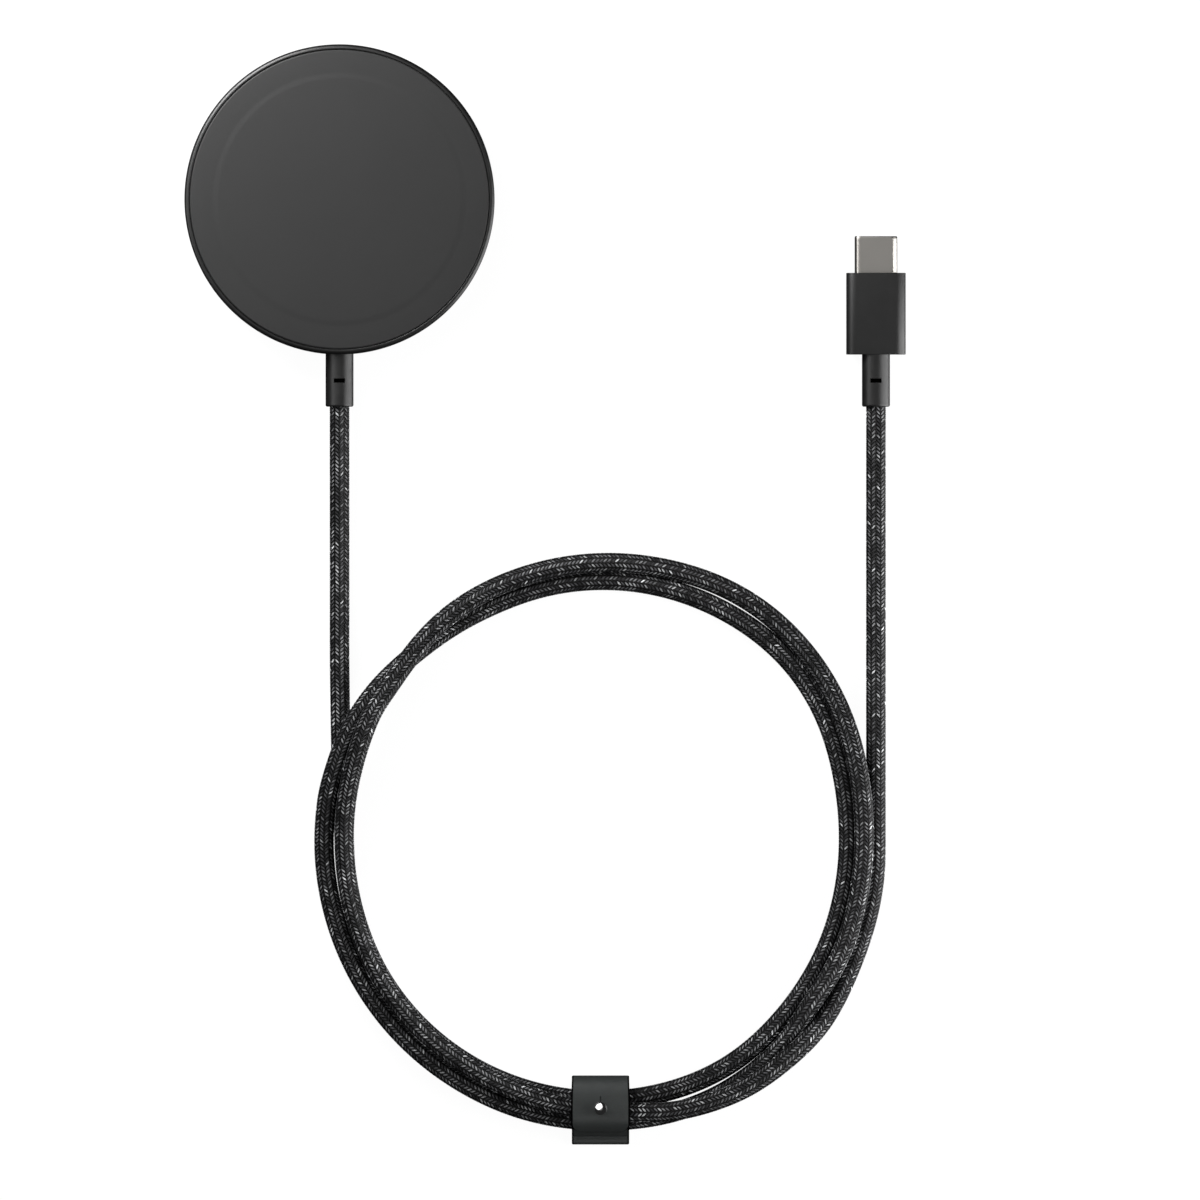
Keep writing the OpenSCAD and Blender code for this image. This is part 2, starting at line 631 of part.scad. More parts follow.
// From the layer that carries the stud, down over the outer turn, out to a flat fold,
// back under the bundle and up to the hinge
module strap_band() color("#343837")
    difference() {
        across_tie(tie_w) polygon(concat(
            [[stud_layer_u, stud_layer_z], [stud_layer_u, stud_layer_z + leather_t]],
            arc(top_turn, wrap_out_r, 90, slope_deg, 8),
            arc(outer_turn, wrap_out_r, slope_deg, tail_from_deg, 10),
            arc([tie_out_u - leather_t, leather_t], leather_t, 90, -90, 8),
            arc([bend_u, tie_bend_r], tie_bend_r, 270, 180, 10),
            arc([bend_u, bend_top_z], tie_bend_r, 180, 135 + hinge_gap_deg, 5),
            arc([bend_u, bend_top_z], tie_bend_r - leather_t, 135 + hinge_gap_deg, 180, 5),
            arc([bend_u, tie_bend_r], tie_bend_r - leather_t, 180, 270, 10),
            arc(outer_turn, wrap_in_r, -90, slope_deg, 16),
            arc(top_turn, wrap_in_r, slope_deg, 90, 8)
        ));
        on_tie(stud_u, stud_layer_z - 1) cylinder(d = screw_d, h = leather_t + 2);
        on_tie(stud_u, stud_layer_z - 1) cylinder(d = screw_head_d, h = screw_head_t + 1);
    }

// From the hinge over the bundle to the tip, with a slot that clears the stud's ball
module strap_flap() color("#3a3e3d")
    difference() {
        intersection() {
            across_tie(flap_w) polygon(concat(
                arc([bend_u, bend_top_z], tie_bend_r, 135, 90, 6),
                arc(top_turn, flap_wrap_r + leather_t, 90, slope_deg, 8),
                [tip_top, tip_bottom],
                arc(top_turn, flap_wrap_r, slope_deg, 90, 8),
                arc([bend_u, bend_top_z], tie_bend_r - leather_t, 90, 135, 6)
            ));
            on_tie(tip_u / 2 + hinge_u / 2 - 2, 0) linear_extrude(flap_top_z + 1)
                round_rect(flap_w, tip_u - hinge_u + 4, tie_corner_r);
        }
        for (u = [flap_slot_in_u + flap_slot_w / 2, flap_slot_out_u - flap_slot_w / 2])
            on_tie(u, flap_z - 2) cylinder(d = flap_slot_w, h = leather_t + 3);
        translate([coil_x - flap_slot_w / 2, coil_y - flap_slot_out_u + flap_slot_w / 2, flap_z - 2])
            cube([flap_slot_w, flap_slot_out_u - flap_slot_in_u - flap_slot_w, leather_t + 3]);
    }

module stud() color("#c9cacc")
    difference() {
        union() {
            on_tie(stud_u, stud_layer_z + leather_t) cylinder(d = stud_foot_d, h = stud_foot_t);
            on_tie(stud_u, stud_layer_z + leather_t) cylinder(d = neck_d, h = ball_z - stud_layer_z - leather_t);
            on_tie(stud_u, ball_z) sphere(d = ball_d);
        }
        on_tie(stud_u, stud_layer_z) cylinder(d = screw_d, h = leather_t + fit_gap + leather_t);
    }

module stud_screw() color("#b0b2b5") {
    on_tie(stud_u, stud_layer_z) cylinder(d = screw_head_d, h = screw_head_t);
    on_tie(stud_u, stud_layer_z) cylinder(d = screw_d, h = leather_t + fit_gap + leather_t);
}

// ---------------------------------------------------------------- the assembly

housing();
foot_pad();
thermal_pad();
board_components();
circuit_board();
coil_carrier();
ferrite_plate();
transmit_coil();
coil_leads();
thermistor();
shield_film();
magnet_yoke();
magnet_ring();
face_tape();
face_plate();
face_skin();
cord_clamp();
clamp_screws();
puck_wires();
housing_relief();
cord_puck_end();
cord_lead_in();
cord_coil();
cord_lead_out();
plug_relief();
cord_plug_end();
plug_body();
plug_inner_mould();
plug_shield_can();
plug_crimp();
plug_wires();
plug_board();
plug_chip();
plug_insulator();
plug_contacts();
plug_latches();
plug_ground_springs();
plug_shell();
strap_band();
strap_flap();
stud();
stud_screw();
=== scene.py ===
import json
import math

import bmesh
import bpy
import numpy as np
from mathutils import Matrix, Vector


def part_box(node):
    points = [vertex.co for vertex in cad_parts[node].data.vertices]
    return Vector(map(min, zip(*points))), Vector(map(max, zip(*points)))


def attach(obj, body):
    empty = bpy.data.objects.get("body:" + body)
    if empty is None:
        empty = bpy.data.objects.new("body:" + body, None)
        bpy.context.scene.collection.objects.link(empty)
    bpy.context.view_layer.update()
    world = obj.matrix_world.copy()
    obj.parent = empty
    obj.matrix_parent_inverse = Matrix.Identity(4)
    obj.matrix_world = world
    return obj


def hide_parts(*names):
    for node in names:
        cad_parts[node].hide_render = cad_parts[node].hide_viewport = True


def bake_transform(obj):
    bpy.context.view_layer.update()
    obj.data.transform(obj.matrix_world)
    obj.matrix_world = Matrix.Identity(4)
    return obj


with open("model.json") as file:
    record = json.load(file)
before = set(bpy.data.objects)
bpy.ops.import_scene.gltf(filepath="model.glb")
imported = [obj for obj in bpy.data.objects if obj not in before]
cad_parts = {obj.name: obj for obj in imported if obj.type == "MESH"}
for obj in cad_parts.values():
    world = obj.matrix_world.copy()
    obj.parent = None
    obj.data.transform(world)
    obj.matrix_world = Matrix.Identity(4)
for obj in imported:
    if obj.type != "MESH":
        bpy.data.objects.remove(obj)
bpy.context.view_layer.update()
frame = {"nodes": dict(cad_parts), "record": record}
MM = 0.001

# ---------------------------------------------------------------- places, in millimetres


def node_box(node):
    """Lowest and highest corner of a CAD node, in millimetres."""
    low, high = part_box(node)
    return low / MM, high / MM


puck_low, puck_high = node_box("housing")
PUCK_R = puck_high.x
RIM_TOP_Z = puck_high.z
HOUSING_Z = puck_low.z
face_low, face_high = node_box("face_skin")
FACE_R = face_high.x
FACE_Z = face_high.z
SKIN_Z = face_low.z
PLATE_Z = node_box("face_plate")[0].z
FOOT_R = node_box("foot_pad")[1].x

body_low, body_high = node_box("plug_body")
PLUG_X = (body_low.x + body_high.x) / 2
PLUG_Z = (body_low.z + body_high.z) / 2
shell_low, shell_high = node_box("plug_shell")

# The two strain reliefs have the same radii. RELIEF_Z is the middle of the puck's.
PUCK_RELIEF_END_Y = node_box("housing_relief")[0].y
PLUG_RELIEF_END_Y = node_box("plug_relief")[0].y
RELIEF_R = 2.7
RELIEF_Z = 4.0
NECK_R = 2.215

# The coil of cord and the tie, where u is the distance from the coil's middle towards -Y
COIL_MIDDLE = (50.5, -124.2)
CORD_D = 3.73
TOP_TURN = (52.0, 6.205)
OUTER_TURN = (54.014, 3.065)
SLOPE_DEG = 32.67
LEATHER_T = 1.0
BAND_W = 11.1
FLAP_W = 11.4
BEND_U = 49.3
BEND_R = 4.0
BEND_TOP_Z = 6.369
STUD_U = 51.6
BALL_Z = 11.419
BALL_R = 1.35
TAIL_END_U = 58.7

# ---------------------------------------------------------------- camera

camera = bpy.data.objects.new("camera", bpy.data.cameras.new("camera"))
bpy.context.scene.collection.objects.link(camera)
bpy.context.scene.camera = camera
camera.data.lens = 1500
camera.data.sensor_width = 36
VIEW_WIDTH = 232.2
VIEW_MIDDLE = (50.4, -77.5)
VIEW_Z = 4.0            # where the view has that width
camera_height = VIEW_WIDTH * camera.data.lens / camera.data.sensor_width + VIEW_Z
camera.location = Vector((*VIEW_MIDDLE, camera_height)) * MM
camera.data.clip_end = 100

# ---------------------------------------------------------------- meshes


def mesh_piece(name, points_mm, faces, uvs=None, smooth_deg=35):
    """A mesh object from points in millimetres. uvs gives one pair for each corner of each face."""
    mesh = bpy.data.meshes.new(name)
    mesh.from_pydata((np.asarray(points_mm, float) * MM).tolist(), [], np.asarray(faces).tolist())
    if uvs is not None:
        layer = mesh.uv_layers.new(name="weave")
        layer.data.foreach_set("uv", np.asarray(uvs, np.float32).ravel())
    return link_piece(name, mesh, smooth_deg)


def shade_smooth(mesh, smooth_deg):
    """Smooth shading, apart from edges sharper than the angle."""
    mesh.polygons.foreach_set("use_smooth", [True] * len(mesh.polygons))
    mesh.set_sharp_from_angle(angle=math.radians(smooth_deg))


def link_piece(name, mesh, smooth_deg=35):
    """An object for the mesh."""
    shade_smooth(mesh, smooth_deg)
    mesh.validate()
    mesh.update()
    piece = bpy.data.objects.new(name, mesh)
    bpy.context.scene.collection.objects.link(piece)
    return piece


def grid_faces(rows, columns, wrap_rows=False):
    """Quads of a grid of points that closes round its columns, and round its rows too if asked."""
    r = np.arange(rows if wrap_rows else rows - 1)[:, None]
    c = np.arange(columns)[None]
    n, m = (c + 1) % columns, (r + 1) % rows
    quads = np.stack([r * columns + c, r * columns + n, m * columns + n, m * columns + c], -1)
    return quads.reshape(-1, 4)


def arc(middle, radius, start_deg, end_deg, steps):
    """Points on an arc, from one angle to the other."""
    angles = np.radians(np.linspace(start_deg, end_deg, steps + 1))
    return [(middle[0] + radius * math.cos(a), middle[1] + radius * math.sin(a)) for a in angles]


def lathe(name, outline, segments=256, axis="z", origin=(0, 0, 0), smooth_deg=35):
    """A closed outline of (radius, height) turned round the Z axis, or round the Y axis."""
    outline = np.array(outline, float)
    turn = np.linspace(0, 2 * math.pi, segments, endpoint=False)
    radius, height = outline[:, 0][:, None], outline[:, 1][:, None]
    across, up = radius * np.cos(turn), radius * np.sin(turn)
    lengthwise = height + 0 * turn
    parts = (across, up, lengthwise) if axis == "z" else (across, lengthwise, up)
    points = np.stack(parts, -1).reshape(-1, 3) + np.array(origin)
    piece = mesh_piece(name, points, grid_faces(len(outline), segments, wrap_rows=True))
    return tidy(piece, smooth_deg)


def tidy(piece, smooth_deg=35):
    """Points that meet are joined, faces point outwards, and the sharp edges are marked."""
    bm = bmesh.new()
    bm.from_mesh(piece.data)
    bmesh.ops.remove_doubles(bm, verts=bm.verts, dist=0.0005 * MM)
    bmesh.ops.dissolve_degenerate(bm, edges=bm.edges, dist=0.0005 * MM)
    bmesh.ops.recalc_face_normals(bm, faces=bm.faces)
    bm.to_mesh(piece.data)
    bm.free()
    shade_smooth(piece.data, smooth_deg)
    piece.data.update()
    return piece


def cut(piece, *cutters, smooth_deg=35):
    """Takes the cutters' shapes out of the piece, and removes the cutters."""
    for cutter in cutters:
        change = piece.modifiers.new("cut", "BOOLEAN")
        change.object = cutter
        change.solver = "EXACT"
    made = piece.evaluated_get(bpy.context.evaluated_depsgraph_get())
    mesh = bpy.data.meshes.new_from_object(made)
    piece.modifiers.clear()
    piece.data = mesh
    for cutter in cutters:
        bpy.data.objects.remove(cutter)
    return tidy(piece, smooth_deg)


def loft(name, rings, smooth_deg=35, painted_shade_marks=None):
    """Rings of points joined one to the next, with flat ends.

    painted_shade_marks gives each point's "black" mark, which Surface.blacken reads.
    """
    rings = np.asarray(rings, float)
    count, size = rings.shape[:2]
    faces = grid_faces(count, size).tolist()
    faces += [list(range(size))[::-1], list(range((count - 1) * size, count * size))]
    mesh = bpy.data.meshes.new(name)
    mesh.from_pydata((rings.reshape(-1, 3) * MM).tolist(), [], faces)
    if painted_shade_marks is not None:
        mesh.attributes.new("black", "FLOAT", "POINT").data.foreach_set("value", np.ravel(painted_shade_marks))
    return tidy(link_piece(name, mesh), smooth_deg)


def slab_ring(width, height, radius, y, steps=10):
    """A rectangle with round corners, across the plug at y."""
    w, h = width / 2 - radius, height / 2 - radius
    outline = []
    for x, z, start_deg in ((w, h, 0), (-w, h, 90), (-w, -h, 180), (w, -h, 270)):
        outline += arc((x, z), radius, start_deg, start_deg + 90, steps)
    return [(PLUG_X + x, y, PLUG_Z + z) for x, z in outline]


def circle(radius, count):
    """Points on a circle, without the first one again at the end."""
    return arc((0, 0), radius, 0, 360, count)[:-1]


def bar(name, radius, x, z, y0, y1):
    """A round bar along Y, to cut with."""
    return loft(name, [[(x + a, y, z + b) for a, b in circle(radius, 64)] for y in (y0, y1)])


def post(name, radius, x, y, z0, z1):
    """A round bar along Z, to cut with."""
    return loft(name, [[(x + a, y + b, z) for a, b in circle(radius, 48)] for z in (z0, z1)])


# ---------------------------------------------------------------- the cord's route

# From each strain relief to the coil
LEAD_IN = [
    [0, -39.6, 4], [0, -46, 3.95], [0, -52, 3.6], [0, -59, 2.9], [0, -66, 2.2], [0, -73, 1.9],
    [0, -81, 1.9], [0, -89, 1.9], [0.1, -97, 1.9], [0.2, -104, 1.9],
]
LEAD_OUT = [
    [103.8, -39.6, 2.8], [103.8, -46, 2.8], [103.8, -52, 2.6], [103.8, -59, 2.2], [103.8, -66, 1.9],
    [103.8, -74, 1.9], [103.8, -83, 1.9], [103.8, -92, 1.9], [103.8, -101, 1.9], [103.8, -110, 1.9],
]
# Where each turn of the coil runs: angle round the middle in degrees, radius, height. The second turn
# climbs over the first, and the third over both, where they pass from one side to the other.
FIRST_TURN = [
    (180, 49.6, 1.9), (195, 49.6, 1.9), (210, 49.9, 1.9), (225, 50.05, 2.0), (240, 50.1, 2.9),
    (255, 50.1, 3.0), (285, 50.1, 3.0), (300, 49.9, 3.0), (315, 49.1, 2.1), (330, 48.5, 1.9),
    (345, 48.1, 1.9), (360, 48.0, 1.9), (375, 48.5, 1.9), (390, 49.7, 1.9), (405, 50.5, 1.9),
    (420, 50.6, 1.9), (450, 50.5, 1.9), (465, 50.3, 1.9), (475, 50.2, 1.9), (485, 50.5, 1.9),
    (495, 51.1, 1.9), (505, 52.2, 3.0), (510, 52.65, 4.4), (515, 53.0, 5.4), (521, 53.2, 5.6),
    (525, 53.3, 5.4), (530, 53.5, 4.6), (535, 53.5, 3.5), (540, 53.5, 2.5),
]
SECOND_TURN = [
    (547, 53.5, 2.0), (558, 53.5, 2.0), (570, 53.55, 2.3), (585, 53.65, 2.7), (600, 53.8, 3.4),
    (615, 54.05, 3.1), (630, 54.1, 3.0), (645, 54.3, 3.0), (655, 54.1, 3.0), (662, 53.7, 3.1),
    (670, 53.1, 3.3), (675, 52.5, 3.6), (680, 51.7, 4.3), (690, 51.4, 4.7), (705, 51.1, 4.7),
    (720, 51.0, 4.8), (735, 51.7, 4.6), (747, 52.75, 3.8), (765, 54.1, 3.0), (780, 54.6, 2.0),
    (795, 54.3, 2.4), (810, 53.9, 3.4), (825, 53.45, 3.9), (835, 53.1, 4.4), (845, 52.5, 5.4),
    (855, 51.4, 5.6), (865, 50.7, 6.5), (870, 50.7, 7.5), (875, 50.4, 8.0), (880, 50.1, 7.8),
    (885, 49.9, 7.0), (892, 49.75, 5.9),
]
THIRD_TURN = [
    (900, 49.6, 5.6), (915, 49.7, 5.6), (930, 50.0, 5.6), (945, 50.3, 5.75), (958, 50.4, 6.6),
    (970, 50.9, 6.65), (982, 51.6, 6.45), (990, 52.0, 6.25), (998, 52.9, 6.45), (1005, 54.0, 6.7),
    (1012, 54.7, 6.7), (1020, 55.3, 6.4), (1030, 55.45, 5.9), (1036, 55.5, 4.9), (1041, 55.35, 3.6),
    (1046, 54.9, 2.5), (1052, 54.3, 2.0), (1065, 53.7, 1.9), (1080, 53.3, 1.9),
]
COIL_STEP_DEG = 5
CORD_STEP = 0.4         # between the rings of the cord's mesh
CREST_R = CORD_D / 2 + 0.08     # CORD_D is across the yarns' mean height
LOWEST_Z = CREST_R + 0.01


def spline(knots, values, at):
    """The natural cubic spline through the values at the knots."""
    knots, values = np.asarray(knots, float), np.asarray(values, float)
    count, gaps = len(knots), np.diff(knots)
    matrix, wanted = np.eye(count), np.zeros_like(values)
    for i in range(1, count - 1):
        matrix[i, i - 1:i + 2] = gaps[i - 1], 2 * (gaps[i - 1] + gaps[i]), gaps[i]
        wanted[i] = 6 * ((values[i + 1] - values[i]) / gaps[i] - (values[i] - values[i - 1]) / gaps[i - 1])
    bend = np.linalg.solve(matrix, wanted)
    i = np.clip(np.searchsorted(knots, at, side="right") - 1, 0, count - 2)
    gap = gaps[i][:, None]
    left = (knots[i + 1] - at)[:, None] / gap
    right = 1 - left
    curve = (left ** 3 - left) * bend[i] + (right ** 3 - right) * bend[i + 1]
    return left * values[i] + right * values[i + 1] + curve * gap ** 2 / 6


def along(points):
    """Distance along the points, from the first."""
    return np.concatenate([[0], np.cumsum(np.linalg.norm(np.diff(points, axis=0), axis=1))])


def cord_path():
    """The whole cord's centreline, from the puck's strain relief round the coil to the plug's."""
    stations = np.array(FIRST_TURN + SECOND_TURN + THIRD_TURN)
    turns = []
    for angle in np.arange(stations[0, 0], stations[-1, 0] + 1, COIL_STEP_DEG):
        radius, height = spline(stations[:, 0], stations[:, 1:], np.array([angle]))[0]
        turns.append([
            COIL_MIDDLE[0] + radius * math.cos(math.radians(angle)),
            COIL_MIDDLE[1] + radius * math.sin(math.radians(angle)),
            max(height, LOWEST_Z),
        ])
    points = np.array(LEAD_IN + turns + LEAD_OUT[::-1], float)
    distance = along(points)
    rings = int(distance[-1] / CORD_STEP)
    path = spline(distance, points, np.linspace(0, distance[-1], rings + 1))
    path[:, 2] = np.maximum(path[:, 2], LOWEST_Z)
    return path


# ---------------------------------------------------------------- the braided cord

BRAID_COLUMNS = 12
COLUMN_SIDES = 3
BRAID_RELIEF = 0.16
BRAID_PITCH = 0.76      # of the yarns, along the cord
BRAID_LEAN = 1.15       # yarns that a column's width leans across


def braided_cord(path):
    """A tube along the path, whose surface rises and falls as the yarns of a herringbone braid do."""
    count, sides = len(path), COLUMN_SIDES * BRAID_COLUMNS
    ahead = np.gradient(path, axis=0)
    ahead /= np.linalg.norm(ahead, axis=1)[:, None]
    across = np.cross(ahead, [0, 0, 1])
    across /= np.linalg.norm(across, axis=1)[:, None]
    up = np.cross(across, ahead)
    side, row = np.arange(sides), np.arange(count)
    hollow = (row[:, None] + side[None] % COLUMN_SIDES) % 2
    border = (side % COLUMN_SIDES == 0)[None]
    radius = CREST_R - BRAID_RELIEF * (0.55 * hollow + 0.45 * border)
    turn = 2 * math.pi * side / sides
    points = path[:, None] + radius[..., None] * (
        np.cos(turn)[None, :, None] * across[:, None] + np.sin(turn)[None, :, None] * up[:, None])
    faces = grid_faces(count, sides)
    r, c = np.divmod(np.arange(len(faces)), sides)
    corners = [(r, c), (r, c + 1), (r + 1, c + 1), (r + 1, c)]
    uvs = np.stack([
        np.stack([row_at * CORD_STEP / BRAID_PITCH, side_at / COLUMN_SIDES], -1)
        for row_at, side_at in corners], 1)
    return mesh_piece("braided_cord", points.reshape(-1, 3), faces, uvs, smooth_deg=60)


path = cord_path()
cord = braided_cord(path)
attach(cord, "charger")
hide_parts("cord_lead_in", "cord_coil", "cord_lead_out")

# ---------------------------------------------------------------- materials


class Surface:
    """A material and its nodes."""

    def __init__(self, name, colour, roughness, metallic=0.0, **sockets):
        self.material = bpy.data.materials.new(name)
        self.material.use_nodes = True
        self.nodes = self.material.node_tree.nodes
        self.links = self.material.node_tree.links
        self.shader = self.nodes["Principled BSDF"]
        self.shader.inputs["Base Color"].default_value = (*colour, 1)
        self.shader.inputs["Roughness"].default_value = roughness
        self.shader.inputs["Metallic"].default_value = metallic
        self.colour, self.roughness = colour, roughness
        for socket, value in sockets.items():
            self.shader.inputs[socket.replace("_", " ")].default_value = value
        self.place = self.nodes.new("ShaderNodeTexCoord").outputs["Object"]

    def feed(self, socket, value):
        """Links the socket to an output, or sets it to a value."""
        if isinstance(value, bpy.types.NodeSocket):
            self.links.new(value, socket)
        else:
            socket.default_value = value

    def value(self, operation, *inputs):
        """A Math node's output."""
        node = self.nodes.new("ShaderNodeMath")
        node.operation = operation
        for socket, value in zip(node.inputs, inputs):
            self.feed(socket, value)
        return node.outputs[0]

    def mix(self, factor, colour, over, blend="MIX"):
        """A colour with another over it, by the factor."""
        node = self.nodes.new("ShaderNodeMix")
        node.data_type = "RGBA"
        node.blend_type = blend
        for socket, value in (("Factor", factor), ("A", colour), ("B", over)):
            self.feed(node.inputs[socket], value)
        return node.outputs["Result"]

    def stretched(self, x, y, z):
        """The place, scaled along each axis."""
        node = self.nodes.new("ShaderNodeMapping")
        node.inputs["Scale"].default_value = (x, y, z)
        self.links.new(self.place, node.inputs["Vector"])
        return node.outputs[0]

    def noise(self, size_mm, detail=3, place=None):
        """Noise with features of about that size."""
        node = self.nodes.new("ShaderNodeTexNoise")
        node.inputs["Scale"].default_value = 1 / (size_mm * MM)
        node.inputs["Detail"].default_value = detail
        self.links.new(place or self.place, node.inputs["Vector"])
        return node.outputs["Fac"]

    def ramp(self, factor, *stops, constant=False):
        """Colours or grey levels along a factor."""
        node = self.nodes.new("ShaderNodeValToRGB")
        node.color_ramp.interpolation = "CONSTANT" if constant else "LINEAR"
        elements = node.color_ramp.elements
        while len(elements) < len(stops):
            elements.new(0.5)
        for element, (position, level) in zip(elements, stops):
            element.position = position
            element.color = (*level, 1) if isinstance(level, tuple) else (level, level, level, 1)
        self.links.new(factor, node.inputs["Fac"])
        return node.outputs["Color"]

    def mottle(self, size_mm, amount):
        """The colour varies by that share, from patch to patch."""
        dark = tuple(c * (1 - amount) for c in self.colour)
        light = tuple(c * (1 + amount) for c in self.colour)
        level = self.ramp(self.noise(size_mm, 4), (0.3, dark), (0.7, light))
        self.links.new(level, self.shader.inputs["Base Color"])
        return self

    def rough(self, size_mm, amount):
        """The roughness varies by that much, either way."""
        smoother, rougher = self.roughness - amount, self.roughness + amount
        level = self.ramp(self.noise(size_mm, 2), (0.3, smoother), (0.7, rougher))
        self.links.new(level, self.shader.inputs["Roughness"])
        return self

    def paint_shade_black(self):
        """Painted shade, black without gloss, where loft has marked the mesh. It follows mottle."""
        node = self.nodes.new("ShaderNodeAttribute")
        node.attribute_name = "black"
        marks = node.outputs["Fac"]
        base = self.shader.inputs["Base Color"]
        self.feed(base, self.mix(marks, base.links[0].from_socket, (0.001, 0.001, 0.001, 1)))
        gloss = self.shader.inputs["Specular IOR Level"]
        self.feed(gloss, self.value("MULTIPLY", self.value("SUBTRACT", 1.0, marks), gloss.default_value))
        return self

    def bump(self, *heights_mm):
        """Relief from pairs of a height factor and its depth in millimetres."""
        total = None
        for factor, depth in heights_mm:
            part = self.value("MULTIPLY", factor, depth)
            total = part if total is None else self.value("ADD", total, part)
        node = self.nodes.new("ShaderNodeBump")
        node.inputs["Strength"].default_value = 1
        node.inputs["Distance"].default_value = MM
        self.links.new(total, node.inputs["Height"])
        self.links.new(node.outputs["Normal"], self.shader.inputs["Normal"])
        return self


def relief_surface():
    """Fine-grained rubber, with painted shade: black without gloss at the bottom of its slots."""
    surface = Surface("relief_rubber", (0.005, 0.005, 0.005), 0.42)
    surface.mottle(3, 0.06).rough(1.8, 0.04).paint_shade_black()
    surface.bump((surface.noise(0.1), 0.006))
    return surface.material


def braid_surface():
    """Slanting yarns in columns, which meet in chevrons, some of them light, and painted shade between them.
    """
    surface = Surface("braid", (0.02, 0.02, 0.022), 0.55, Specular_IOR_Level=0.2)
    weave = surface.nodes.new("ShaderNodeUVMap")
    weave.uv_map = "weave"
    parts = surface.nodes.new("ShaderNodeSeparateXYZ")
    surface.links.new(weave.outputs["UV"], parts.inputs[0])
    # Y counts the columns round the cord, and X the yarns along it. Every other column leans back.
    column = surface.value("FLOOR", parts.outputs["Y"])
    over = surface.value("FRACT", parts.outputs["Y"])
    lean = surface.value("SUBTRACT", surface.value("MULTIPLY", surface.value("MODULO", column, 2), 2), 1)
    lean = surface.value("MULTIPLY", lean, BRAID_LEAN)
    shift = surface.value("MULTIPLY", lean, surface.value("SUBTRACT", over, 0.5))
    reach = surface.value("ADD", parts.outputs["X"], shift)
    yarn, within = surface.value("FLOOR", reach), surface.value("FRACT", reach)
    ridge = surface.value("SINE", surface.value("MULTIPLY", within, math.pi))
    width = surface.value("SINE", surface.value("MULTIPLY", over, math.pi))
    height = surface.value(
        "MULTIPLY", surface.value("POWER", ridge, 0.6), surface.value("POWER", width, 0.35))
    # Each yarn has its own colour. Painted shade darkens its sides and the gaps between yarns to near black,
    # so it is light only on its crest, and where the cord is worn
    cell = surface.nodes.new("ShaderNodeCombineXYZ")
    surface.links.new(column, cell.inputs["X"])
    surface.links.new(yarn, cell.inputs["Y"])
    chance = surface.nodes.new("ShaderNodeTexWhiteNoise")
    chance.noise_dimensions = "2D"
    surface.links.new(cell.outputs[0], chance.inputs["Vector"])
    yarn_colour = surface.ramp(
        chance.outputs["Value"],
        (0.0, (0.02, 0.02, 0.022)), (0.2, (0.06, 0.06, 0.064)), (0.45, (0.12, 0.121, 0.126)),
        (0.72, (0.2, 0.202, 0.208)), (0.92, (0.34, 0.345, 0.35)), (0.98, (0.55, 0.56, 0.57)), constant=True)
    worn = surface.value("MULTIPLY_ADD", surface.noise(5), 3.0, -0.4)
    # light is the painted shade between the yarns, from the ramp on height, times the worn patches
    light = surface.value("MULTIPLY", surface.ramp(height, (0.68, 0.005), (0.95, 1.0)), worn)
    surface.feed(surface.shader.inputs["Base Color"], surface.mix(1, yarn_colour, light, "MULTIPLY"))
    surface.bump((height, 0.16))
    return surface.material


def leather_surface():
    """Smooth, close-grained leather with fine pores, and black edges without gloss: edge paint, darkened to
    black as painted shade for the dark line along them.
    """
    surface = Surface("leather", (0.028, 0.0312, 0.0304), 0.5, Specular_IOR_Level=0.35)
    surface.mottle(2.2, 0.08).rough(0.7, 0.05).paint_shade_black()
    pores = surface.nodes.new("ShaderNodeTexVoronoi")
    pores.inputs["Scale"].default_value = 1 / (0.22 * MM)
    surface.links.new(surface.place, pores.inputs["Vector"])
    surface.bump(
        (pores.outputs["Distance"], 0.018), (surface.noise(0.12, 4), 0.012), (surface.noise(2.5, 2), 0.05))
    return surface.material


def grained(name, colour, roughness, grain_mm, depth_mm, metallic=0.0, patch_mm=6.0, amount=0.06, **sockets):
    """A surface with a fine grain and a slight change of colour and gloss from patch to patch."""
    surface = Surface(name, colour, roughness, metallic, **sockets)
    surface.mottle(patch_mm, amount).rough(patch_mm * 0.6, amount * 0.5)
    surface.bump((surface.noise(grain_mm, 3), depth_mm))
    return surface.material


def drawn_metal(name, colour, roughness, stretch, grain_mm=0.05, depth_mm=0.003, spread=0.18):
    """Metal with fine lines along one axis: stretch is small along that axis."""
    surface = Surface(name, colour, roughness, 1.0)
    lines = surface.noise(grain_mm, 2, surface.stretched(*stretch))
    surface.mottle(3, 0.015)
    level = surface.ramp(lines, (0.3, roughness * (1 - spread)), (0.7, roughness * (1 + spread)))
    surface.links.new(level, surface.shader.inputs["Roughness"])
    surface.bump((lines, depth_mm))
    return surface.material


